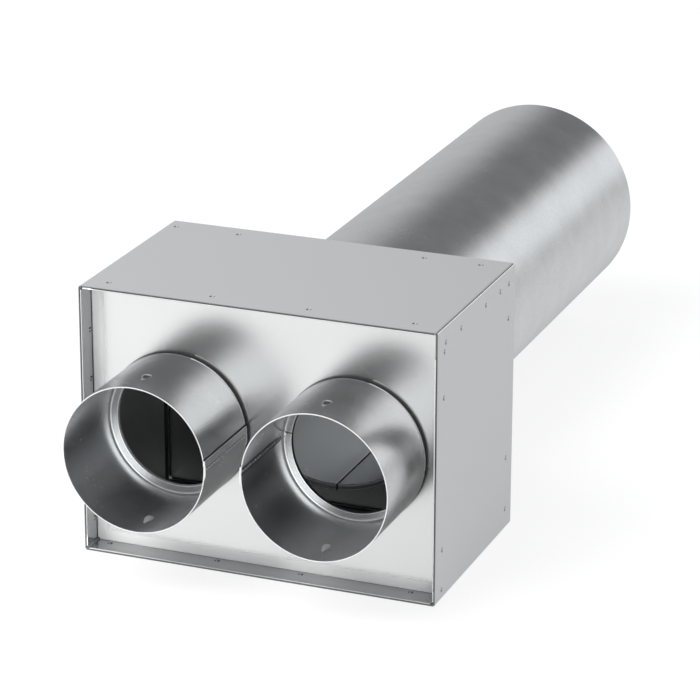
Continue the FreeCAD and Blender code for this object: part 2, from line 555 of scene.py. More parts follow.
def galvanised(board, colour, metallic, roughness, coat, painted_light=None):
    """Zinc-coated sheet: soft clouds, a fine grain, a faint ripple and, where asked, a paler band of
    painted light.
    """
    cloud_size, grain_size, grain, ripple = coat
    clouds = board.noise(cloud_size, *CLOUD_DETAIL)
    grains = board.noise(grain_size, *GRAIN_DETAIL)
    tone = clouds * CLOUDS_IN_TONE + grains * (1 - CLOUDS_IN_TONE)
    tint = board.mixed(tone.rise(*TONE_TURN), shade(colour, 1 - grain),
                       shade(colour, 1 + grain * LIGHT_GRAIN))
    height = clouds * CLOUDS_IN_RIPPLE + grains * (1 - CLOUDS_IN_RIPPLE)
    bump = board.node("ShaderNodeBump", None, {"Strength": 1.0, "Distance": ripple, "Height": height})
    # Painted light: beside the bends the sheet turns paler and less metallic
    if painted_light:
        share = beside_bends(board)
        tint = board.mixed(share, tint, painted_light)
        metallic = metallic - share * PAINTED_LIGHT_DULLING
    varied = (clouds + grains) * ROUGHNESS_RANGE + (roughness - ROUGHNESS_RANGE)
    board.metal(tint, metallic, varied, {"Normal": board.wire(bump, "Normal")})


def beside_bends(board):
    """Mask of the painted light band: 1 on the plate beside the left and the bottom bend, falling to 0
    away from them.
    """
    axes = board.node("ShaderNodeSeparateXYZ", None, {0: board.place()})
    bands = []
    for axis, low in (("X", CASING_LOW.x), ("Z", CASING_LOW.z)):
        distance = board.wire(axes, axis) - low
        bands.append(distance.rise(*PAINTED_LIGHT_BAND_START) * (1 - distance.rise(*PAINTED_LIGHT_BAND_END)))
    return bands[0].larger(bands[1])


def cut_metal(board, colour, metallic):
    """Sheared or scraped metal, with fine marks of the tool; also used for the painted shade of the
    casing's edges and of the dimples.
    """
    marks = board.noise(TOOL_MARK_SIZE)
    tint = board.mixed(marks.rise(*TOOL_MARK_FADE), shade(colour, TOOL_MARK_SHADE), shade(colour, 1.0))
    board.metal(tint, metallic, marks * CUT_ROUGHNESS_RANGE + CUT_ROUGHNESS)


def gap_and_shade(board, dark, dusty):
    """Dark gap between two layers of sheet; also painted shade in creases, grooves, slits, hollows and a
    shaded strip.
    """
    dust = board.noise(DUST_SIZE)
    board.metal(board.mixed(dust, dark, dusty), GAP_METALLIC, GAP_ROUGHNESS)


def made_once(name, make, *values):
    """The material of that name, made the first time that it is asked for."""
    material = bpy.data.materials.get(name)
    if material is None:
        material = bpy.data.materials.new(name)
        make(NodeBoard(material), *values)
    return material


def sheet_materials(plain, shadowed):
    """The materials of a piece, in the order of the surface numbers."""
    finish = bpy.context.scene.sleeve_finish
    gap_shade_colours = tuple(finish.gap_shade_colour), tuple(finish.dust_colour)
    return [plain, made_once("cut_edge", cut_metal, finish.edge_and_highlight_colour, EDGE_METALLIC),
            made_once("gap_and_shade", gap_and_shade, *gap_shade_colours), shadowed]


def casing_materials():
    finish = bpy.context.scene.sleeve_finish
    return sheet_materials(made_once("casing_zinc", galvanised, finish.casing_colour, CASING_METALLIC,
                                     finish.casing_roughness, CASING_COAT),
                           made_once("edge_shade", cut_metal, finish.edge_shade_colour, 1.0))


def panel_zinc(name, colour, painted_light=None):
    roughness = bpy.context.scene.sleeve_finish.panel_roughness
    return made_once(name, galvanised, colour, PANEL_METALLIC, roughness, PANEL_COAT, painted_light)


def front_materials():
    finish = bpy.context.scene.sleeve_finish
    return sheet_materials(panel_zinc("front_zinc", finish.panel_colour, tuple(finish.painted_light_colour)),
                           panel_zinc("flange_shade", finish.flange_shade_colour))


def rear_materials():
    zinc = panel_zinc("rear_zinc", bpy.context.scene.sleeve_finish.panel_colour)
    return sheet_materials(zinc, zinc)


def tube_zinc(name, colour, metallic=1.0):
    roughness = bpy.context.scene.sleeve_finish.tube_roughness
    return made_once(name, galvanised, colour, metallic, roughness, TUBE_COAT)


def socket_materials():
    finish = bpy.context.scene.sleeve_finish
    pressed = made_once("dimple_shade", cut_metal, finish.dimple_shade_colour, PRESSED_METALLIC)
    return sheet_materials(tube_zinc("tube_zinc", finish.tube_colour), pressed) + [
        tube_zinc("socket_inside", finish.tube_colour, SOCKET_INSIDE_METALLIC),
        tube_zinc("stop_ring_highlight", finish.ring_highlight_colour)]


def duct_materials():
    finish = bpy.context.scene.sleeve_finish
    return sheet_materials(tube_zinc("tube_zinc", finish.tube_colour),
                           tube_zinc("duct_inside_shade", finish.duct_inside_shade_colour))


def casing_line(sizes):
    """Outer skin of the casing's strip, from the lap's flange round to the lap's raw edge."""
    lap_x = CASING_HIGH.x - sizes.sheet - sizes.nest_gap
    corners = [flat(lap_x, CASING_HIGH.z - sizes.lap_height),
               flat(lap_x, CASING_HIGH.z),
               flat(CASING_LOW.x, CASING_HIGH.z),
               flat(CASING_LOW.x, CASING_LOW.z),
               flat(CASING_HIGH.x, CASING_LOW.z),
               flat(CASING_HIGH.x, CASING_HIGH.z - sizes.lap_gap)]
    return FoldedLine(corners, [sizes.bend + sizes.sheet] * 4, 1)


def casing_marks(line, sizes):
    """Clinch marks of the four sides, as places across the strip and along it."""
    front = CASING_LOW.y + sizes.clinch_setback
    rear = CASING_HIGH.y - sizes.clinch_setback
    low, high = CASING_LOW, CASING_HIGH
    found = []
    for y, top, bottom, right, left in ((front, TOP_FRONT, BOTTOM_FRONT, RIGHT_FRONT, LEFT_FRONT),
                                        (rear, TOP_REAR, BOTTOM_REAR, RIGHT_REAR, LEFT_REAR)):
        found += [(y, flat(x, high.z)) for x in both_ends(low.x, high.x, top)]
        found += [(y, flat(x, low.z)) for x in both_ends(low.x, high.x, bottom)]
        found += [(y, flat(high.x, z)) for z in both_ends(low.z, high.z, right)]
        found += [(y, flat(low.x, z)) for z in both_ends(low.z, high.z, left)]
    lap_z = high.z - LAP_MARK_DROP
    lap_x = high.x - sizes.sheet - sizes.nest_gap
    for distance in LAP_MARKS:
        found.append((low.y + distance, flat(high.x, lap_z)))
        found.append((low.y + distance, flat(lap_x, lap_z)))
    return ClinchRow([(y, line.distance_at(place)) for y, place in found], sizes)


class SLEEVE_OT_casing(bpy.types.Operator):
    """Fold the casing from one strip, with its lap and its clinch marks"""

    bl_idname = "duct_sleeve.casing"
    bl_label = "Casing"

    # Part of the top bend that lies in the gap under the lap's edge
    LAP_GAP_SHARE = 0.6
    # Strip of the inside that lies in the rear panel's shade, painted dark as shade
    SHADE_START = 42 * MM
    SHADE_END = 46.5 * MM
    ACROSS_STEP = 30 * MM
    ALONG_STEP = 25 * MM

    def execute(self, context):
        sizes = context.scene.sleeve_sizes
        line = casing_line(sizes)
        marks = casing_marks(line, sizes)
        across = grid_lines([CASING_LOW.y, self.SHADE_START, self.SHADE_END, CASING_HIGH.y],
                            self.ACROSS_STEP, marks.fine(0))
        along = grid_lines(line.stops(), self.ALONG_STEP, marks.fine(1))

        def place(y, distance, depth):
            y, distance, pressed = marks.press(y, distance)
            point, inward = line.at(distance)
            spot = point + inward * (depth + pressed)
            return Vector((spot.x, y, spot.y))

        body = SheetMesh(sizes.sheet, sizes.cut_edge)
        bend_start, bend_end = line.runs[1][:2]
        under_lap = bend_start + self.LAP_GAP_SHARE * (bend_end - bend_start)
        right_side = line.runs[-1][0]

        def surface(y, distance, depth):
            # Painted shade on the inside strip beside the rear panel
            shaded = depth > 0 and self.SHADE_START < y < self.SHADE_END
            if shaded or (depth == 0 and distance < under_lap):
                return GAP_AND_SHADE
            # Painted shade: the clinch marks' walls, and on the right side also their floors, take the
            # dark edge colour
            slit = marks.in_slit(y, distance, with_floor=distance > right_side)
            return SHADE_FACE if slit else PLAIN_SHEET

        body.strip(across, along, place, surface=surface, edge=SHADE_FACE)
        body.finish("folded_casing", casing_materials(), "casing", "galvanised_sheet")
        return {"FINISHED"}


def pan_flange_line(rim_y, back_y, sizes):
    """Outer skin of a pan's flange: from the plate, round the bend and out to the rim."""
    corners = [flat(sizes.corner_relief, back_y), flat(0, back_y), flat(0, rim_y)]
    side = 1 if rim_y < back_y else -1
    return FoldedLine(corners, [sizes.bend + sizes.sheet], side)


class Pan:
    """Recessed end panel: a pierced plate with a flange along each side."""

    LEAN = 0.3 * MM
    LEAN_REACH = 8 * MM
    # Shares of the bend at which its painted highlight line starts and ends, and its painted shade in the
    # crease starts
    BEND_HIGHLIGHT_START = 0.1
    BEND_HIGHLIGHT_END = 0.4
    CREASE_START = 0.6
    CREASE_REACH = 0.4 * MM
    ACROSS_STEP = 20 * MM
    ALONG_STEP = 12 * MM
    # Rings of the plate's grid, as shares of the way from its outline to its hole
    PLATE_RINGS = (0, 0.35, 0.7, 0.95, 1)

    def __init__(self, low, high, rim_y, back_y, marks_y, rows, sizes):
        self.low = low
        self.high = high
        self.sizes = sizes
        self.back_y = back_y
        self.rim_y = rim_y
        self.inward = 1 if rim_y > back_y else -1
        self.line = pan_flange_line(rim_y, back_y, sizes)
        self.mark_across = self.line.distance_at(flat(0, marks_y))
        self.rows = rows
        self.body = SheetMesh(sizes.sheet, sizes.cut_edge)
        relief = sizes.corner_relief
        self.left = low.x + relief
        self.right = high.x - relief
        self.bottom = low.z + relief
        self.top = high.z - relief
        self.lap_z = CASING_HIGH.z - sizes.lap_height - sizes.nest_gap

    def flange(self, low, high, centres, point, skin=PLAIN_SHEET, rim=CUT_EDGE_AND_HIGHLIGHT, crease_shaded=False):
        """One flange; point(inset, y, along) places it on its side, skin is its visible side's kind."""
        marks = ClinchRow([(self.mark_across, value) for value in centres if low < value < high],
                          self.sizes)
        bend_start, bend_end = self.line.runs[1][:2]
        crease_end = bend_end + self.CREASE_REACH
        across = grid_lines(sorted(self.line.stops() + [crease_end]), self.ACROSS_STEP, marks.fine(0))
        along = grid_lines([low, high], self.ALONG_STEP, marks.fine(1))

        def place(distance, value, depth):
            distance, value, pressed = marks.press(distance, value)
            spot, inward = self.line.at(distance)
            spot = spot + inward * (depth + pressed)
            return point(spot.x + self.lean(spot.y), spot.y, value)

        def surface(distance, value, depth):
            turned = (distance - bend_start) / (bend_end - bend_start)
            # Painted highlight along the bend, then painted shade in its crease
            if depth > 0 and self.BEND_HIGHLIGHT_START < turned < self.BEND_HIGHLIGHT_END:
                return CUT_EDGE_AND_HIGHLIGHT
            in_crease = crease_shaded and depth > 0 and turned > self.CREASE_START and distance < crease_end
            if in_crease or marks.in_slit(distance, value):
                return GAP_AND_SHADE
            return skin if depth > 0 and turned > self.BEND_HIGHLIGHT_END else PLAIN_SHEET

        self.body.strip(across, along, place, welded_start=True, surface=surface, edge=rim)
        return along

    def lean(self, y):
        """How far the flange springs off the casing towards its rim."""
        return self.LEAN * max(0.0, 1 - abs(y - self.rim_y) / self.LEAN_REACH)

    def lap_tongue(self):
        """Flat edge of the plate behind the casing's lap, where the flange is cut away."""
        width = self.sizes.corner_relief + CASING_HIGH.x - self.high.x
        width -= 2 * self.sizes.sheet + 3 * self.sizes.nest_gap
        along = grid_lines([self.lap_z, self.top], self.ALONG_STEP)

        def place(distance, value, depth):
            return Vector((self.right + distance, self.back_y + self.inward * depth, value))

        self.body.strip([0, width / 2, width], along, place, welded_start=True)
        return along

    def flanges(self):
        """Adds the four flanges and returns the grid lines along each side of the plate."""
        top_row, bottom_row, right_row, left_row = self.rows
        low, high = self.low, self.high
        casing_x = (CASING_LOW.x, CASING_HIGH.x)
        casing_z = (CASING_LOW.z, CASING_HIGH.z)
        # Painted shade: the left and bottom flanges take the darker flange colour past their bends
        left = self.flange(self.bottom, self.top, both_ends(*casing_z, left_row),
                           lambda inset, y, value: Vector((low.x + inset, y, value)),
                           SHADE_FACE, PLAIN_SHEET, crease_shaded=True)
        bottom = self.flange(self.left, self.right, both_ends(*casing_x, bottom_row),
                             lambda inset, y, value: Vector((value, y, low.z + inset)), SHADE_FACE)
        top = self.flange(self.left, self.right, both_ends(*casing_x, top_row),
                          lambda inset, y, value: Vector((value, y, high.z - inset)), rim=PLAIN_SHEET)
        right = self.flange(self.bottom, self.lap_z, both_ends(*casing_z, right_row),
                            lambda inset, y, value: Vector((high.x - inset, y, value)))
        right += self.lap_tongue()[1:]
        return left, bottom, top, right

    def plate(self, outline, centre, radius):
        """Flat plate between an outline and a round hole."""
        def place(spot, depth):
            return Vector((spot.x, self.back_y + self.inward * depth, spot.y))

        self.body.pierced_plate(outline, centre, radius, place, self.PLATE_RINGS)


def outline_points(left_x, right_x, left, bottom, right, top):
    """Closed outline of a plate from the grid lines along its four sides."""
    points = [flat(x, left[0]) for x in bottom[:-1]]
    points += [flat(right_x, z) for z in right[:-1]]
    points += [flat(x, left[-1]) for x in reversed(top[1:])]
    points += [flat(left_x, z) for z in reversed(left[1:])]
    return points


def half_line(line, start, end):
    """Grid lines between start and end, with the middle of the panel at 0 as one of them."""
    return sorted([0.0] + [x for x in line if start - STEP < x < end + STEP and abs(x) > STEP])


class SLEEVE_OT_front_panel(bpy.types.Operator):
    """Press the front panel with its two socket holes"""

    bl_idname = "duct_sleeve.front_panel"
    bl_label = "Front panel"

    MIDDLE_STEP = 6 * MM

    def execute(self, context):
        sizes = context.scene.sleeve_sizes
        pan = Pan(FRONT_LOW, FRONT_HIGH, FRONT_LOW.y, FRONT_HIGH.y, CASING_LOW.y + sizes.clinch_setback,
                  (TOP_FRONT, BOTTOM_FRONT, RIGHT_FRONT, LEFT_FRONT), sizes)
        left, bottom, top, right = pan.flanges()
        hole = sizes.neck_radius + sizes.neck_bend + sizes.nest_gap
        middle = spread(pan.bottom, pan.top, self.MIDDLE_STEP)
        for side, start, end, near, far in ((-1, pan.left, 0.0, left, middle),
                                            (1, 0.0, pan.right, middle, right)):
            outline = outline_points(start, end, near, half_line(bottom, start, end), far,
                                     half_line(top, start, end))
            pan.plate(outline, flat(side * SOCKET_X, AXIS_Z), hole)
        pan.body.finish("front_pan", front_materials(), "front_panel", "galvanised_sheet")
        return {"FINISHED"}


class SLEEVE_OT_rear_panel(bpy.types.Operator):
    """Press the rear panel with its duct hole"""

    bl_idname = "duct_sleeve.rear_panel"
    bl_label = "Rear panel"

    def execute(self, context):
        sizes = context.scene.sleeve_sizes
        pan = Pan(REAR_LOW, REAR_HIGH, REAR_HIGH.y, REAR_LOW.y, CASING_HIGH.y - sizes.clinch_setback,
                  (TOP_REAR, BOTTOM_REAR, RIGHT_REAR, LEFT_REAR), sizes)
        left, bottom, top, right = pan.flanges()
        duct_radius = (DUCT_HIGH.z - DUCT_LOW.z) / 2 - sizes.duct_lip
        outline = outline_points(pan.left, pan.right, left, bottom, right, top)
        pan.plate(outline, flat(0, AXIS_Z), duct_radius + sizes.duct_lip_bend + sizes.nest_gap)
        pan.body.finish("rear_pan", rear_materials(), "rear_panel", "galvanised_sheet")
        return {"FINISHED"}


def bump_at(distance, half_width):
    """Smooth hump: 1 at the middle and 0 from half_width outwards."""
    if abs(distance) >= half_width:
        return 0.0
    return 0.5 + 0.5 * math.cos(math.pi * distance / half_width)


class SocketShape:
    """What is pressed into a socket: the lap seam, its stitches and the locking dimples."""

    # Seam: its raw edge, its stitches and knurled strip, the open gap beside it and its inner groove
    SEAM_ANGLE = math.radians(8)
    STITCH_DROP = 4.0 * MM
    STITCH_HALF_WIDTH = 0.7 * MM
    STITCH_HALF_LENGTH = 0.34
    STITCHED_FROM = 0.4
    KNURL_START = 0.6 * MM
    KNURL_PITCH = 2.4 * MM
    KNURL_DEPTH = 0.06 * MM
    EDGE_GAP = 0.75 * MM
    EDGE_GAP_DEPTH = 0.25 * MM
    GROOVE_DROP = 0.7 * MM
    GROOVE_WIDTH = 0.7 * MM
    GROOVE_DEPTH = 0.16 * MM
    INNER_STITCH_RISE = 1.65 * MM
    INNER_STITCHED_FROM = 0.35
    # Foot: the bead, the stretch of it that catches the light and gets a painted highlight, and the
    # groove behind it, in painted shade
    BEAD_WIDTH = 0.6 * MM
    BEAD_HEIGHT = 0.25 * MM
    BEAD_ANGLE = math.radians(35)
    BEAD_REACH = math.radians(42)
    FOOT_GROOVE_DEPTH = 0.4 * MM
    LIT_GROOVE_START = 0.15 * MM
    DARK_GROOVE_START = -0.7 * MM
    # Drawn lines, and how many times as wide a broad one is
    LINE_WIDTH = 0.7 * MM
    BROAD_LINE = 1.4
    # Inside, from the shoulder's start: the shoulder, its flat, the stop ring and the neck
    SHOULDER_START = -1 * MM
    SHOULDER_FLAT = 2.5 * MM
    RING_START = 1.4 * MM
    NECK_START = 5.9 * MM
    # Locking dimples: the tail's narrow end, how it deepens, and how steep its head and walls are
    OUTER_DIMPLE_SHARE = 0.55
    TAIL_WIDTH = 0.15
    TAIL_POWER = 0.8
    HEAD_POWER = 6
    WALL_END = 1.2
    WALL_WIDTH = 0.6
    # Painted shade: from DIMPLE_FROM a dimple takes the dark dimple colour, from DIMPLE_CENTRE_FROM its
    # outer centre the gap colour
    DIMPLE_FROM = 0.1
    DIMPLE_CENTRE_FROM = 0.65
    # Grid round the tube
    ROUND_STEP = math.radians(3)
    DIMPLE_STEP = 0.45 * MM
    DIMPLE_SPACE = 1.35
    SEAM_STEP = 0.35 * MM
    SEAM_SPACE = 1.5

    def __init__(self, side, shoulder_start, sizes):
        self.side = side
        self.sizes = sizes
        self.shoulder_start = shoulder_start
        self.seam = self.SEAM_ANGLE if side < 0 else math.pi - self.SEAM_ANGLE

    def seam_distance(self, angle):
        """Distance from the seam's raw edge, round the tube in the lap's direction."""
        return math.remainder(angle - self.seam, 2 * math.pi) * self.side * SOCKET_RADIUS

    def lap(self, along, aside):
        """Height of the doubled sheet as a share of its thickness."""
        if along >= self.shoulder_start - STEP / 2 or aside < STEP / 2:
            return 0.0
        beyond = aside - self.sizes.seam_lap
        return min(1.0, max(0.0, 1 - beyond / self.sizes.seam_ramp))

    def stitches(self, along, aside):
        phase = (along / self.sizes.stitch_pitch) % 1 - 0.5
        across = bump_at(aside - self.STITCH_DROP, self.STITCH_HALF_WIDTH)
        return across * bump_at(phase, self.STITCH_HALF_LENGTH)

    def knurl(self, along, aside):
        if not self.KNURL_START < aside < self.STITCH_DROP - self.STITCH_HALF_WIDTH:
            return 0.0
        return math.sin((along + aside) * 2 * math.pi / self.KNURL_PITCH)

    def foot(self, along):
        """Small bead round the tube's foot and the groove between it and the panel."""
        beyond = along - self.shoulder_start
        bead = bump_at(beyond + self.BEAD_WIDTH, self.BEAD_WIDTH) * self.BEAD_HEIGHT
        return bead - bump_at(beyond - self.BEAD_WIDTH, self.BEAD_WIDTH) * self.FOOT_GROOVE_DEPTH

    def surface(self, along, angle, depth):
        """What the skin is like at a place: plain, in a gap, pressed, bright cut metal, or with painted
        highlights and painted shade.
        """
        aside = self.seam_distance(angle)
        beyond = along - self.shoulder_start
        pressed = self.dimple(along, angle) / self.sizes.dimple_depth
        if pressed > self.DIMPLE_FROM:
            return GAP_AND_SHADE if depth == 0 and pressed > self.DIMPLE_CENTRE_FROM else SHADE_FACE
        if depth == 0:
            return self.outer_surface(aside, beyond, along, angle)
        return self.inner_surface(aside, beyond, along)

    def outer_surface(self, aside, beyond, along, angle):
        line = self.LINE_WIDTH / 2
        if -self.EDGE_GAP < aside < STEP * 4 and beyond < self.LIT_GROOVE_START:
            return GAP_AND_SHADE
        # Painted highlight on the bead's lit stretch; painted shade in the groove behind it, from further
        # forward off that stretch
        lit = abs(angle - self.BEAD_ANGLE) < self.BEAD_REACH
        if lit and abs(beyond + self.BEAD_WIDTH) < line * self.BROAD_LINE:
            return CUT_EDGE_AND_HIGHLIGHT
        if beyond > (self.LIT_GROOVE_START if lit else self.DARK_GROOVE_START):
            return GAP_AND_SHADE
        # Painted shade along the row of stitches, and a painted highlight line beside it
        stitched = self.stitches(along, self.STITCH_DROP) > self.STITCHED_FROM
        if stitched and abs(aside - self.STITCH_DROP) < line:
            return GAP_AND_SHADE
        light = stitched and abs(aside - self.STITCH_DROP - self.LINE_WIDTH) < line
        return CUT_EDGE_AND_HIGHLIGHT if light or 0 < aside < line else PLAIN_SHEET

    def inner_surface(self, aside, beyond, along):
        line = self.LINE_WIDTH / 2
        # Painted highlight on the left socket's neck, painted shade on the right socket's
        if beyond > self.NECK_START:
            return CUT_EDGE_AND_HIGHLIGHT if self.side < 0 else GAP_AND_SHADE
        on_shoulder = self.SHOULDER_START < beyond < self.SHOULDER_FLAT
        if abs(aside - self.GROOVE_DROP) < line and not on_shoulder:
            return GAP_AND_SHADE
        if beyond > self.SHOULDER_START:
            # Painted highlight: the stop ring past RING_START
            return STOP_RING if beyond > self.RING_START else INNER_SKIN
        # Painted highlight on the inner stitch bumps, painted shade along their row and line
        row = aside + self.INNER_STITCH_RISE
        if self.stitches(along, row) > self.INNER_STITCHED_FROM:
            return CUT_EDGE_AND_HIGHLIGHT
        in_row = abs(row - self.STITCH_DROP) < self.LINE_WIDTH
        in_line = abs(aside - self.STITCH_DROP) < line * self.BROAD_LINE
        return GAP_AND_SHADE if in_row or in_line else INNER_SKIN

    def dimple(self, along, angle):
        """Depth of a locking dimple: a tail that rises from the mouth and a round head."""
        sizes = self.sizes
        away = abs(math.remainder(angle - math.pi / 2, math.pi)) * SOCKET_RADIUS
        ahead = along - sizes.dimple_setback
        if ahead < -sizes.dimple_ramp or ahead > sizes.dimple_radius:
            return 0.0
        if ahead < 0:
            part = 1 + ahead / sizes.dimple_ramp
            width = sizes.dimple_radius * (self.TAIL_WIDTH + (1 - self.TAIL_WIDTH) * part)
            depth = part ** self.TAIL_POWER
        else:
            part = ahead / sizes.dimple_radius
            width = sizes.dimple_radius * math.sqrt(1 + NEAR_ZERO - part * part)
            depth = 1 - part ** self.HEAD_POWER
        wall = min(1.0, max(0.0, (width * self.WALL_END - away) / (width * self.WALL_WIDTH)))
        return sizes.dimple_depth * depth * wall * wall * (3 - 2 * wall)

    def shift(self, along, angle, depth):
        """Radial shift of the skins: outwards is positive."""
        sizes = self.sizes
        aside = self.seam_distance(angle)
        inner_share = depth / sizes.sheet
        outer_share = 1 - inner_share
        gap = bump_at(aside + self.EDGE_GAP / 2, self.EDGE_GAP)
        outside = self.lap(along, aside) * sizes.sheet - self.stitches(along, aside) * sizes.stitch_depth
        outside += self.knurl(along, aside) * self.KNURL_DEPTH
        outside += self.foot(along) - gap * self.EDGE_GAP_DEPTH
        groove = max(bump_at(aside - self.GROOVE_DROP, self.GROOVE_WIDTH),
                     bump_at(aside - self.STITCH_DROP, self.GROOVE_WIDTH))
        inner_stitch = self.stitches(along, aside + self.INNER_STITCH_RISE)
        inside = groove * self.GROOVE_DEPTH - inner_stitch * sizes.stitch_depth
        dimple_share = inner_share + outer_share * self.OUTER_DIMPLE_SHARE
        return outside * outer_share + inside * inner_share - self.dimple(along, angle) * dimple_share

    def columns(self):
        """Angles of the grid round the tube, finer at the seam and at the dimples."""
        sizes = self.sizes
        per_metre = 1 / SOCKET_RADIUS
        reach = sizes.dimple_radius * self.DIMPLE_SPACE * per_metre
        fine = [(middle - reach, middle + reach, self.DIMPLE_STEP * per_metre)
                for middle in (math.pi / 2, 3 * math.pi / 2)]
        far = self.seam + self.side * (sizes.seam_lap + sizes.seam_ramp) * per_metre
        gap = self.seam - self.side * self.EDGE_GAP * self.SEAM_SPACE * per_metre
        fine.append((min(far, gap), max(far, gap), self.SEAM_STEP * per_metre))
        start = -math.pi / 4
        stops = [start, self.seam, self.seam + self.side * STEP * 2 * per_metre, start + 2 * math.pi]
        return grid_lines(stops, self.ROUND_STEP, fine)[:-1]


def socket_line(sizes):
    """Outer skin of a socket from its mouth over the shoulder to the end of its neck."""
    mouth = SOCKET_LOW.y
    panel_y = FRONT_HIGH.y - sizes.sheet
    corners = [flat(SOCKET_RADIUS, mouth),
               flat(SOCKET_RADIUS, panel_y),
               flat(sizes.neck_radius, panel_y),
               flat(sizes.neck_radius, panel_y + sizes.neck_reach)]
    return FoldedLine(corners, [sizes.shoulder_bend + sizes.sheet, sizes.neck_bend], 1)


class SLEEVE_OT_sockets(bpy.types.Operator):
    """Roll the two sockets with their seams, locking dimples, shoulders and necks"""

    bl_idname = "duct_sleeve.sockets"
    bl_label = "Sockets"

    ALONG_STEP = 0.6 * MM
    DIMPLE_STEP = 0.5 * MM
    FOOT_STEP = 0.2 * MM
    FOOT_REACH = 1.2 * MM

    def execute(self, context):
        sizes = context.scene.sleeve_sizes
        line = socket_line(sizes)
        shoulder_start = line.runs[0][1]
        for side, name in ((-1, "left_socket"), (1, "right_socket")):
            shape = SocketShape(side, shoulder_start, sizes)
            fine = [(sizes.dimple_setback - sizes.dimple_ramp, sizes.dimple_setback + sizes.dimple_radius,
                     self.DIMPLE_STEP),
                    (shoulder_start - self.FOOT_REACH, shoulder_start + self.FOOT_REACH, self.FOOT_STEP)]
            along = grid_lines(sorted(line.stops() + [shoulder_start - STEP * 2]), self.ALONG_STEP, fine)
            centre = side * SOCKET_X

            def place(distance, angle, depth):
                point, inward = line.at(distance)
                spot = point + inward * depth
                radius = spot.x + shape.shift(distance, angle, depth)
                return Vector((centre + radius * math.cos(angle), spot.y,
                               AXIS_Z + radius * math.sin(angle)))

            body = SheetMesh(sizes.sheet, sizes.cut_edge)
            body.strip(along, shape.columns(), place, closed=True, surface=shape.surface)
            body.finish(name + "_sheet", socket_materials(), name, "galvanised_tube")
        return {"FINISHED"}


class SLEEVE_OT_duct(bpy.types.Operator):
    """Roll the long duct with its seam and the lip inside the box"""

    bl_idname = "duct_sleeve.duct"
    bl_label = "Duct"

    SEAM_ANGLE = math.radians(-87)
    SEAM_WIDTH = 1.2 * MM
    SEAM_DEPTH = 0.18 * MM
    LIP_LINE = 0.5 * MM
    ALONG_STEP = 25 * MM
    ROUND_STEP = math.radians(2.5)

    def execute(self, context):
        sizes = context.scene.sleeve_sizes
        lip_radius = (DUCT_HIGH.z - DUCT_LOW.z) / 2
        radius = lip_radius - sizes.duct_lip
        corners = [flat(radius, DUCT_HIGH.y), flat(radius, DUCT_LOW.y + sizes.duct_sheet),
                   flat(lip_radius, DUCT_LOW.y + sizes.duct_sheet)]
        line = FoldedLine(corners, [sizes.duct_lip_bend], -1)
        lip_edge = line.length - self.LIP_LINE
        along = grid_lines(sorted(line.stops() + [lip_edge]), self.ALONG_STEP)
        seam_reach = self.SEAM_WIDTH / radius
        start = self.SEAM_ANGLE - math.pi
        fine = [(self.SEAM_ANGLE - seam_reach, self.SEAM_ANGLE + seam_reach, seam_reach / 4)]
        columns = grid_lines([start, start + 2 * math.pi], self.ROUND_STEP, fine)[:-1]

        def place(distance, angle, depth):
            point, inward = line.at(distance)
            spot = point + inward * depth
            aside = (angle - self.SEAM_ANGLE) * radius
            groove = bump_at(aside, self.SEAM_WIDTH) * self.SEAM_DEPTH * depth / sizes.duct_sheet
            reach = spot.x + groove
            return Vector((reach * math.cos(angle), spot.y, AXIS_Z + reach * math.sin(angle)))

        def surface(distance, angle, depth):
            if depth == 0:
                return PLAIN_SHEET
            if abs(angle - self.SEAM_ANGLE) * radius < self.SEAM_WIDTH / 2:
                return GAP_AND_SHADE
            # Painted highlight on the lip's bend; the strip beside the lip's edge takes the cut-edge
            # colour
            if line.runs[1][0] < distance < line.runs[1][1] or distance > lip_edge:
                return CUT_EDGE_AND_HIGHLIGHT
            return SHADE_FACE

        body = SheetMesh(sizes.duct_sheet, sizes.cut_edge)
        body.strip(along, columns, place, closed=True, surface=surface)
        body.finish("duct_tube", duct_materials(), "duct", "galvanised_tube")
        return {"FINISHED"}


def add_camera():
    """Camera at the photograph's viewing angle."""
    data = bpy.data.cameras.new("Studio camera")
    data.lens = 169.16
    data.sensor_width = 36
    data.clip_start = 0.05
    camera = bpy.data.objects.new("Studio camera", data)
    camera.location = (0.6279, -1.5187, 0.7074)
    camera.rotation_euler = [math.radians(angle) for angle in (69.943, -0.124, 21.568)]
    bpy.context.scene.collection.objects.link(camera)
    bpy.context.scene.camera = camera


def add_lamp():
    """Soft lamp for the floor; it stays out of the metal's reflections."""
    data = bpy.data.lights.new("Key lamp", "AREA")
    data.size = 1.4
    data.energy = 75
    lamp = bpy.data.objects.new("Key lamp", data)
    lamp.location = (-0.9, -1.1, 2.0)
    lamp.rotation_euler = (-lamp.location).to_track_quat("-Z", "Y").to_euler()
    lamp.visible_glossy = False
    bpy.context.scene.collection.objects.link(lamp)


def ray_kinds(board):
    """1 for rays from the camera, and 1 for rays by way of metal or glass."""
    path = board.node("ShaderNodeLightPath")
    mirrored = board.wire(path, "Is Glossy Ray").larger(board.wire(path, "Is Transmission Ray"))
    return board.wire(path, "Is Camera Ray"), mirrored


def mixed_shaders(board, factor, first, second):
    made = board.node("ShaderNodeMixShader", None, {0: factor, 1: first, 2: second})
    return board.wire(made, "Shader")


# Floor: half its width, its drop, how much of it is plain white, and how clear it is in metal
FLOOR_HALF = 6.0
FLOOR_DROP = 0.3 * MM
FLOOR_WHITE = 0.85
FLOOR_CLEAR = 0.9
# World: how much plain white shows in metal in place of the studio, and the studio's tint
WHITE_IN_METAL = 0.1
STUDIO_TINT = (0.97, 0.985, 1, 1)


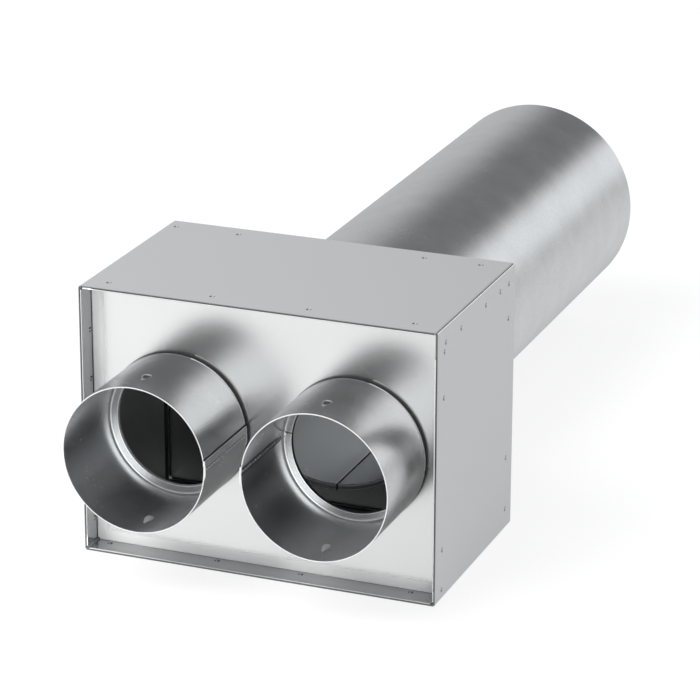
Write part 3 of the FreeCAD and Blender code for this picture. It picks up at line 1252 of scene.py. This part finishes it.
def add_floor(finish):
    """Plain pale floor that keeps the shadow; in metal it shows the studio's light from below."""
    material = bpy.data.materials.new("floor")
    board = NodeBoard(material)
    seen, mirrored = ray_kinds(board)
    lit = board.node("ShaderNodeBsdfDiffuse", None, {"Color": finish.floor_colour})
    plain = board.node("ShaderNodeEmission", None, {"Color": (1, 1, 1, 1), "Strength": 1.0})
    clear = board.node("ShaderNodeBsdfTransparent")
    pale = mixed_shaders(board, seen * FLOOR_WHITE + mirrored, board.wire(lit, "BSDF"),
                         board.wire(plain, "Emission"))
    surface = mixed_shaders(board, mirrored * FLOOR_CLEAR, pale, board.wire(clear, "BSDF"))
    board.node("ShaderNodeOutputMaterial", None, {"Surface": surface})
    corners = [(x * FLOOR_HALF, y * FLOOR_HALF, 0) for x, y in ((-1, -1), (1, -1), (1, 1), (-1, 1))]
    data = bpy.data.meshes.new("floor")
    data.from_pydata(corners, [], [(0, 1, 2, 3)])
    data.materials.append(material)
    floor = bpy.data.objects.new("floor", data)
    floor.location.z = -FLOOR_DROP
    bpy.context.scene.collection.objects.link(floor)


class StudioLight:
    """Soft light by direction: pairs are where a part fades in, single numbers are its level."""

    # Behind the box: a panel at the right, a wall at the left, the floor's glow and a base
    PANEL_FOOT = (-0.2, 0.25)
    PANEL_TOP = (0.56, 0.9)
    PANEL_SIDE = (0, 0.3)
    PANEL_LEVEL = 1.05
    WALL_SIDE = (-0.95, -0.25)
    WALL_LEVEL = 0.48
    HORIZON = (-0.45, 0.3)
    FLOOR_SIDE = (-0.5, 0.5)
    FLOOR_RISE = 0.27
    FLOOR_LEVEL = 0.42
    BEHIND_BASE = 0.1
    # In front of it: the right side, the left side below, and a base
    RIGHT_FOOT = (-0.8, 0)
    RIGHT_SIDE = (-0.03, 0.5)
    RIGHT_LEVEL = 1.85
    LEFT_TOP = (-0.35, 0.45)
    LEFT_SIDE = (-0.8, -0.25)
    LEFT_LEVEL = 1.65
    BEFORE_BASE = 0.06
    # Where the halves meet, the overhead light, and where that gives way to the ring of the halves
    DIVIDE = (-0.2, 0.2)
    OVERHEAD = (0.35, 0.8)
    OVERHEAD_RISE = 0.4
    OVERHEAD_LEVEL = 0.5
    TURNED_ALONG = (0.55, 0.8)
    TURNED_AWAY = (0.1, 0.35)

    def level(self, board):
        """Brightness of the studio by direction."""
        coordinates = board.node("ShaderNodeTexCoord")
        axes = board.node("ShaderNodeSeparateXYZ", None, {0: board.wire(coordinates, "Generated")})
        x, y, z = (board.wire(axes, axis) for axis in "XYZ")
        # Direction round the duct's axis: how far to the right and how far up
        away = (x * x + z * z).root()
        right = x / away
        up = z / away
        panel = up.rise(*self.PANEL_FOOT) * (1 - up.rise(*self.PANEL_TOP)) * right.rise(*self.PANEL_SIDE)
        wall = 1 - right.rise(*self.WALL_SIDE)
        below = 1 - up.rise(*self.HORIZON)
        glow = below * (right.rise(*self.FLOOR_SIDE) * self.FLOOR_RISE + self.FLOOR_LEVEL)
        behind = panel * self.PANEL_LEVEL + wall * (1 - below) * self.WALL_LEVEL + glow + self.BEHIND_BASE
        right_side = up.rise(*self.RIGHT_FOOT) * right.rise(*self.RIGHT_SIDE)
        left_side = (1 - up.rise(*self.LEFT_TOP)) * (1 - right.rise(*self.LEFT_SIDE))
        before = right_side * self.RIGHT_LEVEL + left_side * self.LEFT_LEVEL + self.BEFORE_BASE
        ring = behind + (before - behind) * (1 - y.rise(*self.DIVIDE))
        overhead = z.rise(*self.OVERHEAD) * self.OVERHEAD_RISE + self.OVERHEAD_LEVEL
        turned = 1 - abs(y).rise(*self.TURNED_ALONG) * away.rise(*self.TURNED_AWAY)
        return ring + (overhead - ring) * turned


def add_studio_world():
    """World of the studio: its soft panels in metal, and plain white behind the object."""
    world = bpy.data.worlds.new("Studio")
    bpy.context.scene.world = world
    board = NodeBoard(world)
    seen, mirrored = ray_kinds(board)
    room = board.node("ShaderNodeBackground", None,
                      {"Color": STUDIO_TINT, "Strength": StudioLight().level(board)})
    white = board.node("ShaderNodeBackground", None, {"Color": (1, 1, 1, 1), "Strength": 1.0})
    surface = mixed_shaders(board, seen + mirrored * WHITE_IN_METAL, board.wire(room, "Background"),
                            board.wire(white, "Background"))
    board.node("ShaderNodeOutputWorld", None, {"Surface": surface})


class SLEEVE_OT_stage(bpy.types.Operator):
    """Set up the floor, the soft studio light and the camera"""

    bl_idname = "duct_sleeve.stage"
    bl_label = "Studio"

    def execute(self, context):
        context.scene.view_settings.view_transform = "Standard"
        add_floor(context.scene.sleeve_finish)
        add_studio_world()
        add_lamp()
        add_camera()
        return {"FINISHED"}


class SLEEVE_PT_pieces(bpy.types.Panel):
    """Pieces of the wall duct sleeve"""

    bl_idname = "SLEEVE_PT_pieces"
    bl_label = "Wall duct sleeve"
    bl_space_type = "VIEW_3D"
    bl_region_type = "UI"
    bl_category = "Duct sleeve"

    def draw(self, context):
        for operator in PIECES:
            self.layout.operator(operator.bl_idname)
        for group in (context.scene.sleeve_sizes, context.scene.sleeve_finish):
            box = self.layout.box()
            for name in group.__annotations__:
                box.prop(group, name)


PIECES = (SLEEVE_OT_casing, SLEEVE_OT_front_panel, SLEEVE_OT_rear_panel, SLEEVE_OT_sockets,
          SLEEVE_OT_duct, SLEEVE_OT_stage)
CLASSES = (SleeveSizes, SleeveFinish) + PIECES + (SLEEVE_PT_pieces,)


def register():
    for item in CLASSES:
        bpy.utils.register_class(item)
    bpy.types.Scene.sleeve_sizes = PointerProperty(type=SleeveSizes)
    bpy.types.Scene.sleeve_finish = PointerProperty(type=SleeveFinish)


def unregister():
    del bpy.types.Scene.sleeve_finish
    del bpy.types.Scene.sleeve_sizes
    for item in reversed(CLASSES):
        bpy.utils.unregister_class(item)


def main():
    register()
    bpy.ops.duct_sleeve.casing()
    bpy.ops.duct_sleeve.front_panel()
    bpy.ops.duct_sleeve.rear_panel()
    bpy.ops.duct_sleeve.sockets()
    bpy.ops.duct_sleeve.duct()
    bpy.ops.duct_sleeve.stage()


if __name__ == "__main__":
    main()
